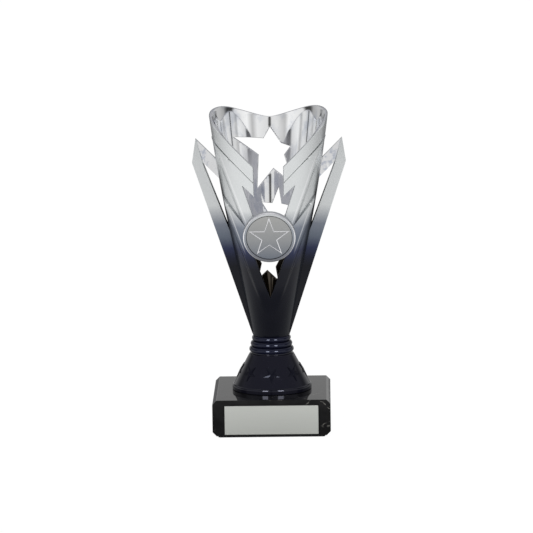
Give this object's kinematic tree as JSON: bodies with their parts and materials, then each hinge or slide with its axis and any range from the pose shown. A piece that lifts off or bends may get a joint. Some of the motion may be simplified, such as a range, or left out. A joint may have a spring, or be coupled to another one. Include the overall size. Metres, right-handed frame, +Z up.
{
  "type": "column trophy",
  "caption": "Trophy with a flared cup, V-cut front, star cut-outs, two side wings, a star medal, a flared riser and a marble base.",
  "frame": {"origin": "middle of the felt underside that the trophy rests on, on the axis of the threaded rod", "axes": "+Z up along the rod, the front with the engraving plate and the medal faces -Y, +X to the viewer's right"},
  "size_m": [0.0848, 0.0708, 0.1771],
  "materials": {
    "marble": "polished black marble with a few fine white veins",
    "felt": "self-adhesive black felt",
    "adhesive": "double-sided adhesive film",
    "plate_aluminium": "fine satin, lacquered",
    "black_plastic": "gloss moulded black",
    "navy_plastic": "gloss, very dark navy",
    "metallised_plastic": "metallised: satin silver outside fading to navy black at the foot, mirror bright inside",
    "medal_aluminium": "satin, with a raised bright star outline",
    "zinc_steel": "bright zinc plated"
  },
  "bodies": {
    "root": {"marble_base": "marble", "felt_sheet": "felt", "plate_tape": "adhesive", "engraving_plate": "plate_aluminium", "riser": "black_plastic", "collar": "navy_plastic", "cup": "metallised_plastic", "wing_left": "metallised_plastic", "wing_right": "metallised_plastic", "medal_holder": "metallised_plastic", "medal_tape": "adhesive", "medal": "medal_aluminium", "threaded_rod": "zinc_steel", "top_nut": "zinc_steel", "top_washer": "zinc_steel", "bottom_nut": "zinc_steel", "bottom_washer": "zinc_steel"}
  },
  "joints": []
}
